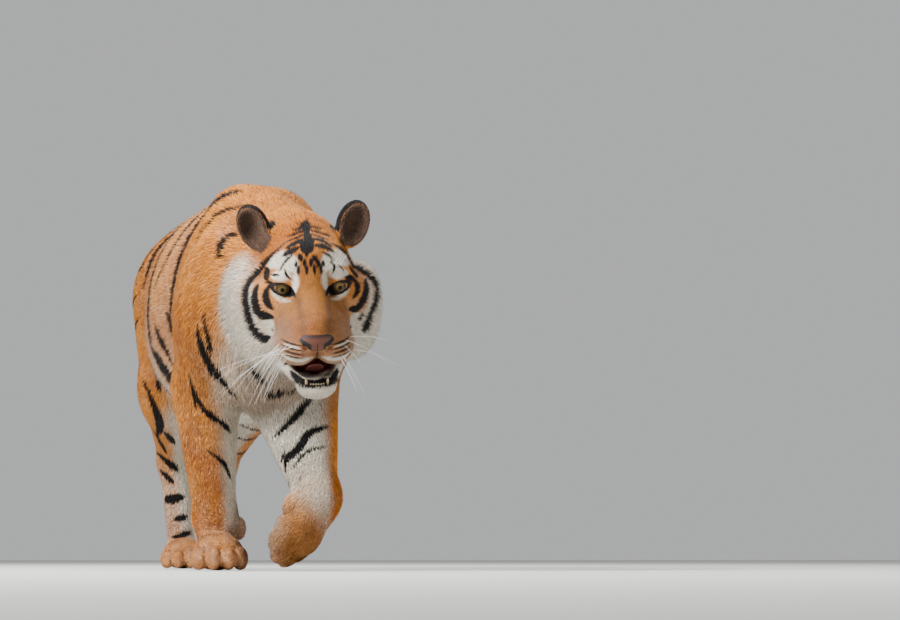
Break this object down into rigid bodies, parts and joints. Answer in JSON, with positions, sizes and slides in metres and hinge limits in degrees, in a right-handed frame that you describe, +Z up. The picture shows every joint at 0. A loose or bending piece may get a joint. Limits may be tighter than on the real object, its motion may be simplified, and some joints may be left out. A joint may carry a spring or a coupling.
{
  "type": "tiger",
  "caption": "Life-size walking tiger, a still museum model with its head low, its mouth a little open and one forepaw bent under it.",
  "frame": {"origin": "on the floor, under the middle of the animal's bounding box", "axes": "-Y is the way that the animal faces, +X is its left side, +Z is up"},
  "size_m": [0.4194, 2.2264, 0.8684],
  "materials": {
    "coat": "short fur, orange with black stripes and white under parts",
    "nose": "bare, slightly moist skin",
    "eye": "wet and clear",
    "mouth": "moist pink skin",
    "tooth": "smooth enamel",
    "whisker": "smooth stiff hair"
  },
  "bodies": {
    "root": {"barrel": "coat", "chest": "coat", "ear_left": "coat", "ear_right": "coat", "eye_left": "eye", "eye_right": "eye", "foreleg_left_forearm": "coat", "foreleg_left_paw": "coat", "foreleg_left_upper": "coat", "foreleg_right_forearm": "coat", "foreleg_right_paw": "coat", "foreleg_right_upper": "coat", "head": "coat", "hindleg_left_paw": "coat", "hindleg_left_shank": "coat", "hindleg_left_upper": "coat", "hindleg_right_paw": "coat", "hindleg_right_shank": "coat", "hindleg_right_upper": "coat", "lower_jaw": "coat", "neck": "coat", "nose": "nose", "rump": "coat", "tail_base": "coat", "tail_middle": "coat", "tail_tip": "coat", "tongue": "mouth"}
  },
  "joints": []
}
